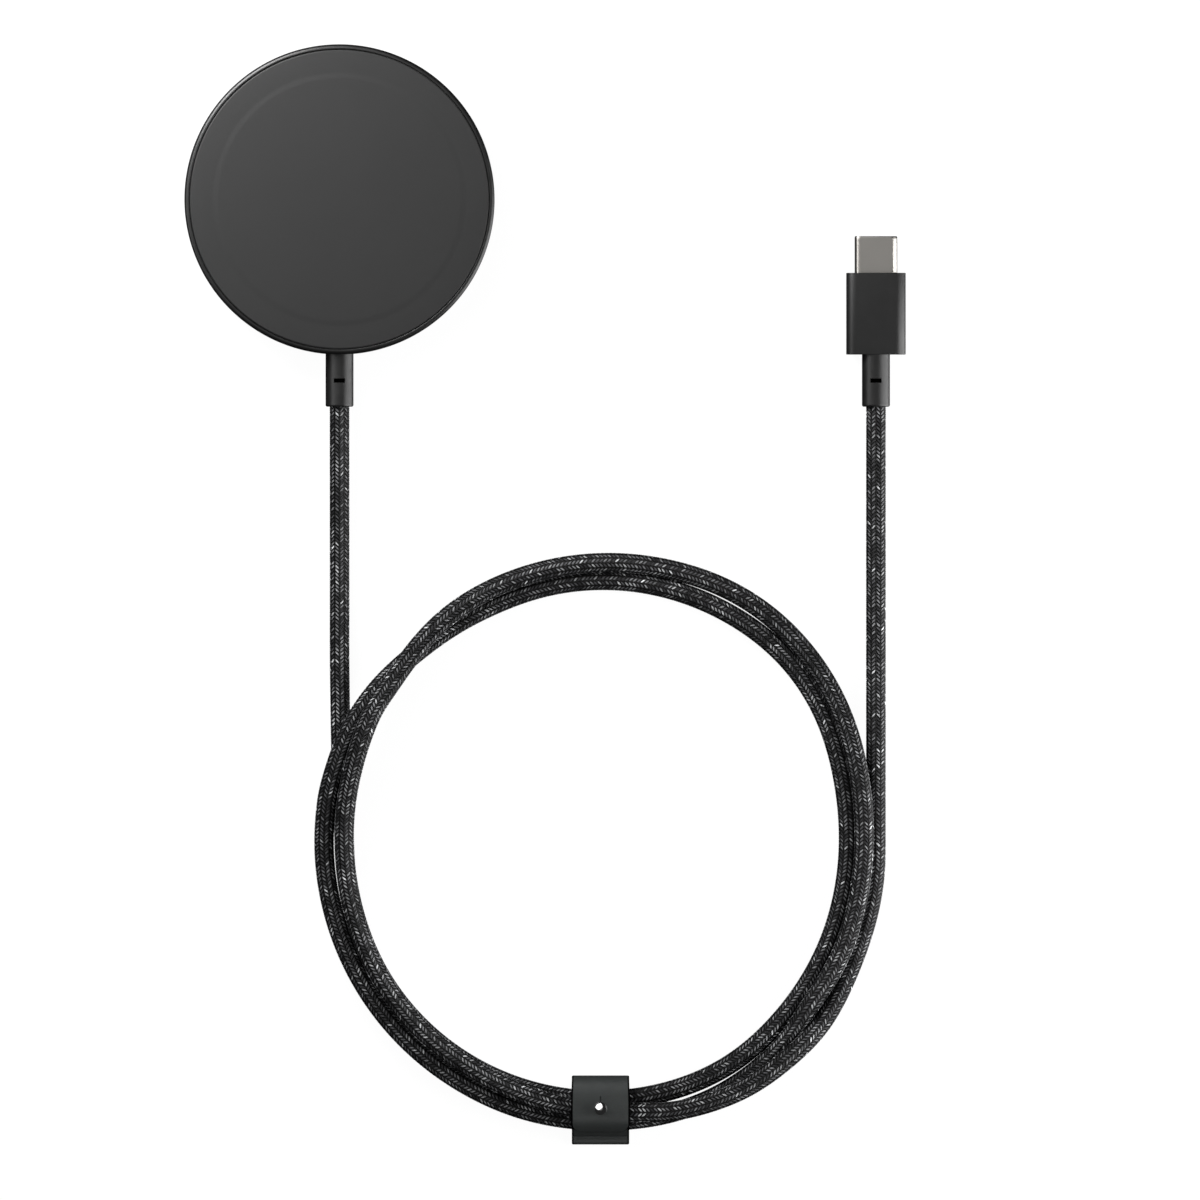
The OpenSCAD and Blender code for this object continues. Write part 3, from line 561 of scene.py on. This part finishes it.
MATERIALS = {
    "braid": braid_surface(),
    "leather": leather_surface(),
    "face_skin": grained("face_skin", (0.0155, 0.0155, 0.0155), 0.55, 0.09, 0.004, patch_mm=12, amount=0.02,
                         Specular_IOR_Level=0.35, Sheen_Weight=0.08, Sheen_Roughness=0.4),
    "grey_metal": grained("grey_metal", (0.043, 0.043, 0.043), 0.38, 0.06, 0.006, metallic=0.9, patch_mm=5),
    "hard_plastic": grained("hard_plastic", (0.07, 0.072, 0.075), 0.5, 0.1, 0.01),
    "foot_rubber": grained("foot_rubber", (0.025, 0.026, 0.028), 0.75, 0.12, 0.02),
    "relief_rubber": relief_surface(),
    "plug_plastic": grained("plug_plastic", (0.0078, 0.0078, 0.0078), 0.42, 0.08, 0.006, patch_mm=4),
    "plug_steel": drawn_metal("plug_steel", (0.5, 0.48, 0.45), 0.3, (1, 0.06, 1), depth_mm=0.0001,
                              spread=0.04),
    "stud_chrome": drawn_metal("stud_chrome", (0.8, 0.8, 0.8), 0.1, (1, 1, 0.3), 0.4, 0.00002),
    "magnet": drawn_metal("magnet", (0.6, 0.6, 0.62), 0.3, (1, 1, 0.1)),
    "copper": drawn_metal("copper", (0.72, 0.4, 0.2), 0.28, (1, 1, 0.1), 0.2),
    "ferrite": grained("ferrite", (0.06, 0.055, 0.05), 0.6, 0.15, 0.02),
    "white_plastic": grained("white_plastic", (0.7, 0.68, 0.62), 0.45, 0.2, 0.008),
    "board": grained("board", (0.02, 0.16, 0.08), 0.35, 0.3, 0.01),
    "component": grained("component", (0.02, 0.02, 0.022), 0.5, 0.08, 0.008, patch_mm=1.5),
    "thermal_pad": grained("thermal_pad", (0.35, 0.45, 0.52), 0.6, 0.4, 0.03),
    "wire": grained("wire", (0.4, 0.05, 0.03), 0.4, 0.3, 0.01, patch_mm=1.5),
    "gold_contact": drawn_metal("gold_contact", (0.85, 0.65, 0.3), 0.22, (1, 0.1, 1)),
}
node_slots = {part["node"]: part.get("material_slot") for part in frame["record"]["subparts"]}


def paint(piece, slot, body=None, *nodes):
    """Gives the piece its slot's material, and its body and the CAD nodes that it stands for."""
    piece.data.materials.clear()
    piece.data.materials.append(MATERIALS[slot])
    if body:
        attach(piece, body)
    if nodes:
        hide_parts(*nodes)
    return piece


cord.data.materials.append(MATERIALS["braid"])

# ---------------------------------------------------------------- puck

INNER_R = PUCK_R - 1.6
RIM_R = PUCK_R - 0.9
FLOOR_TOP_Z = HOUSING_Z + 1.2
RECESS_Z = HOUSING_Z + 0.5


def puck_housing():
    """The metal case: a floor with a recess for the foot, a side wall and a rounded rim."""
    recess_bevel, bottom_round, top_round, inner_round = 0.12, 1.2, 0.75, 0.08
    outline = [(0, RECESS_Z), (FOOT_R, RECESS_Z)]
    outline += [(FOOT_R, HOUSING_Z + recess_bevel), (FOOT_R + recess_bevel, HOUSING_Z)]
    outline += arc((PUCK_R - bottom_round, HOUSING_Z + bottom_round), bottom_round, -90, 0, 14)
    outline += arc((PUCK_R - top_round, RIM_TOP_Z - top_round), top_round, 0, 90, 24)
    outline += arc((RIM_R + inner_round, RIM_TOP_Z - inner_round), inner_round, 90, 180, 6)
    outline += [(RIM_R, PLATE_Z), (INNER_R, PLATE_Z), (INNER_R, FLOOR_TOP_Z), (0, FLOOR_TOP_Z)]
    piece = lathe("puck_housing", outline, 384)
    neck = bar("neck_hole", NECK_R, 0, RELIEF_Z, -PUCK_R - 1, -INNER_R + 1)
    seat = bar("flange_seat", RELIEF_Z - FLOOR_TOP_Z, 0, RELIEF_Z, -INNER_R - 0.1, -INNER_R + 1)
    return cut(piece, neck, seat, smooth_deg=30)


def clamp_posts():
    """Two drilled posts on the housing's floor, for the cord clamp's screws."""
    hole_r, post_r, bevel, top_z = 0.6, 1.0, 0.1, 4.0
    outline = [(hole_r, FLOOR_TOP_Z), (post_r, FLOOR_TOP_Z)]
    outline += [(post_r, top_z - bevel), (post_r - bevel, top_z), (hole_r, top_z)]
    return [lathe(f"clamp_post_{side}", outline, 48, origin=(x, -25.9, 0))
            for side, x in (("left", -3.7), ("right", 3.7))]


def puck_face():
    """The soft skin: a rounded edge, a flat border and a low, soft step up to its middle."""
    step_r, step_w, step_h, edge_r = 24.0, 1.6, 0.07, 0.3
    border_z = FACE_Z - step_h
    outline = [(0, SKIN_Z), (FACE_R - 0.1, SKIN_Z), (FACE_R, SKIN_Z + 0.05)]
    outline += arc((FACE_R - edge_r, border_z - edge_r), edge_r, 0, 90, 12)
    for t in np.linspace(0, 1, 13):
        rise = step_h * (1 - math.cos(math.pi * t)) / 2
        outline.append((step_r + step_w * (0.5 - t), border_z + rise))
    outline += [(step_r / 2, FACE_Z), (0, FACE_Z)]
    return lathe("puck_face", outline, 384, smooth_deg=60)


def foot():
    """A rubber disc with a soft edge and a shallow ring moulded into its underside."""
    ring_depth, edge_r = 0.12, 0.3
    outline = [(0, 0), (18.8, 0), (19.0, ring_depth), (19.6, ring_depth), (19.8, 0)]
    outline += arc((FOOT_R - edge_r, edge_r), edge_r, -90, 0, 8)
    outline += [(FOOT_R, RECESS_Z), (0, RECESS_Z)]
    return lathe("foot_disc", outline, 256)


paint(puck_housing(), "grey_metal", "charger", "housing")
for post_piece in clamp_posts():
    paint(post_piece, "grey_metal", "charger")
paint(puck_face(), "face_skin", "charger", "face_skin")
paint(foot(), "foot_rubber", "charger", "foot_pad")

# ---------------------------------------------------------------- strain reliefs

SLOT_HALF_L = 1.0
SLOT_HALF_W = 0.375
SLOT_DEPTH = 0.7
RELIEF_END_ROUND = 0.35
BORE_R = CREST_R + 0.02
BODY_END_T = 1.3        # the plug body's wall at the cord's end


def ramp_down(distance, edge, width):
    """1 inside the edge and 0 outside, over that width."""
    return max(0.0, min(1.0, (edge + width / 2 - distance) / width))


def relief(name, x, z, y_end, y_root, root_wall):
    """A round sleeve with a slot in its upper and its lower side. root_wall gives its end at each x."""
    middle = (y_end + y_root) / 2
    # Rings at the round end, along the sleeve, and close together at the slot
    steps = np.concatenate([
        y_end + RELIEF_END_ROUND * (1 - np.cos(np.linspace(0, math.pi / 2, 6))),
        np.linspace(y_end + 0.5, middle - 0.7, 8),
        middle + np.array([-0.43, -0.385, -0.36, -0.2, 0, 0.2, 0.36, 0.385, 0.43]),
        np.linspace(middle + 0.7, y_root - 0.15, 8), [y_root]])
    rings, slot_shade_marks = [], []
    for y in steps:
        fall = max(0.0, RELIEF_END_ROUND - (y - y_end))
        radius = RELIEF_R - RELIEF_END_ROUND + math.sqrt(max(RELIEF_END_ROUND ** 2 - fall ** 2, 0))
        points = []
        for pz, px in circle(radius, 120):
            in_slot = ramp_down(abs(px), SLOT_HALF_L, 0.06) * ramp_down(abs(y - middle), SLOT_HALF_W, 0.03)
            sunk = pz - math.copysign(SLOT_DEPTH * in_slot, pz)
            end_y = root_wall(px) if y == y_root else y
            points.append((x + px, end_y, z + sunk))
            # The slot's floor is marked for painted shade, black without gloss
            slot_shade_marks.append(float(in_slot > 0.9))
        rings.append(points)
    piece = loft(name, rings, smooth_deg=32, painted_shade_marks=slot_shade_marks)
    bore = bar("bore", BORE_R, x, z, y_end - 1, y_root + 2)
    return cut(piece, bore, smooth_deg=32)


def relief_anchor(name, x, z, outline):
    """The hidden neck and flange of a strain relief, inside its housing."""
    return lathe(name, outline, 96, axis="y", origin=(x, 0, z))


puck_relief = relief("puck_relief", 0, RELIEF_Z, PUCK_RELIEF_END_Y, -PUCK_R,
                     lambda px: -math.sqrt(PUCK_R ** 2 - px ** 2))
paint(puck_relief, "relief_rubber", "charger", "housing_relief")
FLANGE_R = 2.5
puck_anchor = relief_anchor("puck_relief_anchor", 0, RELIEF_Z, [
    (BORE_R, -PUCK_R + 0.2), (NECK_R, -PUCK_R + 0.2), (NECK_R, -INNER_R - 0.1), (FLANGE_R, -INNER_R - 0.1),
    (FLANGE_R, -INNER_R + 0.9), (FLANGE_R - 0.1, -INNER_R + 1), (BORE_R, -INNER_R + 1)])
paint(puck_anchor, "relief_rubber", "charger")
plug_relief = relief("plug_relief_sleeve", PLUG_X, PLUG_Z, PLUG_RELIEF_END_Y, body_low.y,
                     lambda px: body_low.y)
paint(plug_relief, "relief_rubber", "charger", "plug_relief")
plug_anchor = relief_anchor("plug_relief_anchor", PLUG_X, PLUG_Z, [
    (BORE_R, body_low.y), (NECK_R, body_low.y),
    (NECK_R, body_low.y + BODY_END_T), (BORE_R, body_low.y + BODY_END_T)])
paint(plug_anchor, "relief_rubber", "charger")

# ---------------------------------------------------------------- plug


def shell_ring(grow, y):
    """The outline of the plug's metal shell, larger all round by grow."""
    width, height = shell_high.x - shell_low.x + 2 * grow, shell_high.z - shell_low.z + 2 * grow
    return slab_ring(width, height, height / 2 - 0.001, y, steps=16)


def plug_case():
    """The moulded body, with small round edges at both ends, hollow for its inner mould."""
    width, height = body_high.x - body_low.x, body_high.z - body_low.z
    y0, y1 = body_low.y, body_high.y
    corner_r, edge_r, wall, inner_corner_r = 2, 0.12, 0.8, 1.2
    quarter = np.linspace(0, math.pi / 2, 5)
    rings = []
    for end_y, inward, angles in ((y0, 1, quarter), (y1, -1, quarter[::-1])):
        for a in angles:
            inset = edge_r * (1 - math.sin(a))
            y = end_y + inward * edge_r * (1 - math.cos(a))
            rings.append(slab_ring(width - 2 * inset, height - 2 * inset, corner_r - inset, y))
    piece = loft("plug_case", rings)
    inside = loft("inside", [slab_ring(width - 2 * wall, height - 2 * wall, inner_corner_r, y)
                             for y in (y0 + BODY_END_T, y1 - wall)])
    mouth = loft("mouth", [shell_ring(0.02, y) for y in (y1 - 2, y1 + 1)])
    neck = bar("neck_hole", NECK_R, PLUG_X, PLUG_Z, y0 - 1, y0 + 2)
    return cut(piece, inside, mouth, neck, smooth_deg=28)


def plug_tube():
    """The drawn metal shell, open at both ends, its tip rolled over to a round edge."""
    wall, tip_l, tip_in, y0, y1 = 0.25, 0.3, 0.02, shell_low.y, shell_high.y
    rings = [shell_ring(-wall, y1 - 0.5), shell_ring(-wall, y0), shell_ring(0, y0), shell_ring(0, y1 - 0.6)]
    for a in np.linspace(0, math.pi, 13)[1:]:
        inset = wall / 2 * (1 - math.cos(a)) + tip_in * math.sin(a)
        rings.append(shell_ring(-inset, y1 - tip_l + tip_l * math.sin(a)))
    rings = np.asarray(rings)
    mesh = bpy.data.meshes.new("plug_tube")
    faces = grid_faces(len(rings), rings.shape[1], wrap_rows=True)
    mesh.from_pydata((rings.reshape(-1, 3) * MM).tolist(), [], faces.tolist())
    return tidy(link_piece("plug_tube", mesh), 40)


paint(plug_case(), "plug_plastic", "charger", "plug_body")
paint(plug_tube(), "plug_steel", "charger", "plug_shell")

# ---------------------------------------------------------------- leather tie

LEATHER_EDGE_R = 0.28


def tie_line(*parts):
    """Points along joined stretches of (u, z), at even steps of about 0.2 mm."""
    points = []
    for part in parts:
        for point in part:
            if not points or math.dist(points[-1], point) > 1e-6:
                points.append(point)
    points = np.array(points)
    distance = along(points)
    at = np.linspace(0, distance[-1], int(distance[-1] / 0.2) + 1)
    return np.stack([np.interp(at, distance, points[:, i]) for i in (0, 1)], -1)


def eased(line, passes=20):
    """The line with the sudden changes of bend between its stretches spread out. Its ends stay."""
    line = line.copy()
    for _ in range(passes):
        line[1:-1] = (line[:-2] + 2 * line[1:-1] + line[2:]) / 4
    return line


def thinning(left):
    """The share of the leather's thickness that is there, at that distance from a rounded end."""
    if left >= LEATHER_EDGE_R:
        return 1.0
    return 1 - LEATHER_EDGE_R * 2 / LEATHER_T * (1 - math.sqrt(1 - (1 - left / LEATHER_EDGE_R) ** 2))


def strap(name, line, width_at, soft_start=False, soft_end=False):
    """A strip of leather along a line of (u, z), with round edges.

    width_at gives its width from the distance along it and its length.
    """
    distance = along(line)
    length = distance[-1]
    ahead = np.gradient(line, axis=0)
    ahead /= np.linalg.norm(ahead, axis=1)[:, None]
    normal = np.stack([-ahead[:, 1], ahead[:, 0]], -1)
    rings, painted_shade_marks = [], []
    for at, (u, z), (normal_u, normal_z) in zip(distance, line, normal):
        half_w = width_at(at, length) / 2
        ends = [thinning(left) for soft, left in ((soft_start, at), (soft_end, length - at)) if soft]
        half_t = LEATHER_T / 2 * min([1.0] + ends)
        r = min(LEATHER_EDGE_R, half_t)
        corner = arc((half_w - r, half_t - r), r, 0, 90, 4)
        top = [(x, half_t) for x in np.linspace(half_w - r - 0.1, -half_w + r + 0.1, 15)]
        upper = corner + top + [(-x, h) for x, h in corner[::-1]]
        section = upper + [(-x, -h) for x, h in upper]
        rings.append([(COIL_MIDDLE[0] + x, COIL_MIDDLE[1] - u - h * normal_u, z + h * normal_z)
                      for x, h in section])
        # The round edges, and the flap's tip, are marked black without gloss: edge paint, darkened as
        # painted shade for the dark line along the leather's edges
        at_end = soft_end and length - at < LEATHER_EDGE_R
        painted_shade_marks.append([float(at_end or abs(x) > half_w - r - 0.01) for x, h in section])
    return loft(name, rings, smooth_deg=50, painted_shade_marks=painted_shade_marks)


def slope_point(radius, reach):
    """A point past the flap's bend over the top turn, at that distance down the slope."""
    a = math.radians(SLOPE_DEG)
    return (TOP_TURN[0] + radius * math.cos(a) + reach * math.sin(a),
            TOP_TURN[1] + radius * math.sin(a) - reach * math.cos(a))


# The middle lines' radii at their bends, and where the band and the flap meet at the back
INNER_BEND_R = BEND_R - LEATHER_T / 2
BAND_R = 2.565
FLAP_R = 3.665
TAIL_BEND_R = 0.75
JOIN_Z = 5.2
FLAP_SLOPE_L = 1.57
TIP_CORNER = 2.6

flap_line = eased(tie_line(
    [(BEND_U - INNER_BEND_R, JOIN_Z)],
    arc((BEND_U, BEND_TOP_Z), INNER_BEND_R, 180, 90, 24),
    arc(TOP_TURN, FLAP_R, 90, SLOPE_DEG, 20),
    [slope_point(FLAP_R, FLAP_SLOPE_L)]))
band_line = tie_line(
    [(BEND_U, TOP_TURN[1] + BAND_R)],
    arc(TOP_TURN, BAND_R, 90, SLOPE_DEG, 16),
    arc(OUTER_TURN, BAND_R, SLOPE_DEG, 0, 16),
    arc((OUTER_TURN[0] + BAND_R + TAIL_BEND_R, 1.5 + TAIL_BEND_R), TAIL_BEND_R, 180, 270, 10),
    arc((TAIL_END_U - LEATHER_T, LEATHER_T), LEATHER_T / 2, 90, -90, 12),
    arc((BEND_U, BEND_R), INNER_BEND_R, 270, 180, 20),
    [(BEND_U - INNER_BEND_R, JOIN_Z)])


def flap_width(distance, length):
    """The flap widens after the bend, and its tip has round corners."""
    bend_end, widen_over = 2.5, 6.0
    widen = np.clip((distance - bend_end) / widen_over, 0, 1)
    width = BAND_W + (FLAP_W - BAND_W) * widen * widen * (3 - 2 * widen)
    left = length - distance
    if left < TIP_CORNER:
        width -= 2 * (TIP_CORNER - math.sqrt(TIP_CORNER ** 2 - (TIP_CORNER - left) ** 2))
    return width


STUD_X, STUD_Y = COIL_MIDDLE[0], COIL_MIDDLE[1] - STUD_U
SCREW_R = 0.4

band = strap("leather_band", band_line, lambda distance, length: BAND_W, soft_start=True)
# The stud's screw goes through the band, and its head lies in a seat inside the loop
screw_hole = post("screw_hole", SCREW_R, STUD_X, STUD_Y, 7, 10)
screw_seat = post("screw_seat", 1.3, STUD_X, STUD_Y, 7.9, 8.67)
cut(band, screw_hole, screw_seat, smooth_deg=50)
paint(band, "leather", "tie", "strap_band")

flap = strap("leather_flap", flap_line, flap_width, soft_end=True)
# The ball's hole in the flap, and the slit that lets it stretch
hole = post("button_hole", 1.0, STUD_X, STUD_Y, 8.5, 11)
SLIT_HALF_W, SLIT_L = 0.09, 2.35
slit_corners = ((-SLIT_HALF_W, 0), (SLIT_HALF_W, 0), (SLIT_HALF_W, SLIT_L), (-SLIT_HALF_W, SLIT_L))
slit = loft("slit", [[(STUD_X + x, STUD_Y + y, z) for x, y in slit_corners] for z in (8.5, 11)])
cut(flap, hole, slit, smooth_deg=50)
flap.data.materials.append(MATERIALS["leather"])
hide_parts("strap_flap")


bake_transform(flap)


def ball_stud():
    """A turned stud: a thin foot, a neck, the ball on it, and a hole from below for the screw."""
    base_z, foot_r, neck_r = BALL_Z - 2.15, 1.2, 0.7
    ball_start = math.degrees(math.asin(neck_r / BALL_R))
    outline = [(SCREW_R, base_z), (foot_r, base_z), (foot_r, base_z + 0.05)]
    outline += [(neck_r + 0.1, base_z + 0.06), (neck_r, base_z + 0.15)]
    outline += arc((0, BALL_Z), BALL_R, -90 + ball_start, 90, 48)[:-1] + [(0, BALL_Z + BALL_R)]
    outline += [(0, BALL_Z - 1.05), (SCREW_R, BALL_Z - 1.05)]
    return lathe("ball_stud", outline, 96, origin=(STUD_X, STUD_Y, 0))


stud = paint(ball_stud(), "stud_chrome", "tie", "stud")

# ---------------------------------------------------------------- CAD nodes that stay

for node, piece in frame["nodes"].items():
    if not piece.hide_render:
        paint(piece, node_slots[node])

# ---------------------------------------------------------------- floor, lights and world

FLOOR_HALF = 3000
floor_corners = [(x * FLOOR_HALF, y * FLOOR_HALF, 0) for x, y in ((-1, -1), (1, -1), (1, 1), (-1, 1))]
floor = mesh_piece("floor", floor_corners, [[0, 1, 2, 3]])
floor_surface = Surface("floor", (0.06, 0.06, 0.06), 0.9, Emission_Color=(1, 1, 1, 1),
                        Emission_Strength=0.96)
floor.data.materials.append(floor_surface.material)
floor.visible_diffuse = False
floor.visible_glossy = False
floor.visible_shadow = False


def studio_world():
    """Light from straight above, in a dark room."""
    world = bpy.data.worlds.new("studio")
    world.use_nodes = True
    nodes, links = world.node_tree.nodes, world.node_tree.links
    direction = nodes.new("ShaderNodeTexCoord")
    height = nodes.new("ShaderNodeSeparateXYZ")
    links.new(direction.outputs["Generated"], height.inputs[0])
    ramp = nodes.new("ShaderNodeValToRGB")
    for element, (position, level) in zip(ramp.color_ramp.elements, ((0.8, 0.02), (1.0, 0.43))):
        element.position = position
        element.color = (level, level, level, 1)
    links.new(height.outputs["Z"], ramp.inputs["Fac"])
    links.new(ramp.outputs["Color"], nodes["Background"].inputs["Color"])
    bpy.context.scene.world = world


studio_world()


def softbox(name, place, size, power, aim):
    """A rectangular area light that points at the aim. The power is in watts."""
    light = bpy.data.lights.new(name, "AREA")
    light.shape = "RECTANGLE"
    light.size, light.size_y = size[0] * MM, size[1] * MM
    light.energy = power
    lamp = bpy.data.objects.new(name, light)
    bpy.context.scene.collection.objects.link(lamp)
    lamp.location = Vector(place) * MM
    lamp.rotation_euler = (Vector(aim) * MM - lamp.location).to_track_quat("-Z", "Y").to_euler()
    return lamp


def link_light(lamp, state, *pieces):
    """The light falls only on the pieces, with "INCLUDE", or on all but them, with "EXCLUDE"."""
    group = bpy.data.collections.new(f"{lamp.name}_link")
    for piece in pieces:
        group.objects.link(piece)
    lamp.light_linking.receiver_collection = group
    for entry in group.collection_objects:
        entry.light_linking.link_state = state


softbox("key", (-500, 650, 800), (1000, 1000), 6.0, aim=(50, -80, 0))
off_the_stud = [
    softbox("puck_key", (-78, 98, 96), (90, 90), 0.5, aim=(0, 0, 8)),
    softbox("right", (400, -150, 90), (300, 600), 3.3, aim=(104, -60, 90)),
    softbox("left", (-380, -60, 260), (300, 200), 0.42, aim=(50, -80, 0)),
]
for lamp in off_the_stud:
    link_light(lamp, "EXCLUDE", stud)
stud_light = softbox("stud_light", (14, -128, 66), (220, 220), 0.25, aim=(50.5, -176, 11))
link_light(stud_light, "INCLUDE", stud)
front = softbox("front", (50, -520, 330), (300, 200), 0.45, aim=(50, -170, 5))
link_light(front, "INCLUDE", cord, band, flap)

bpy.context.scene.view_settings.view_transform = "Standard"
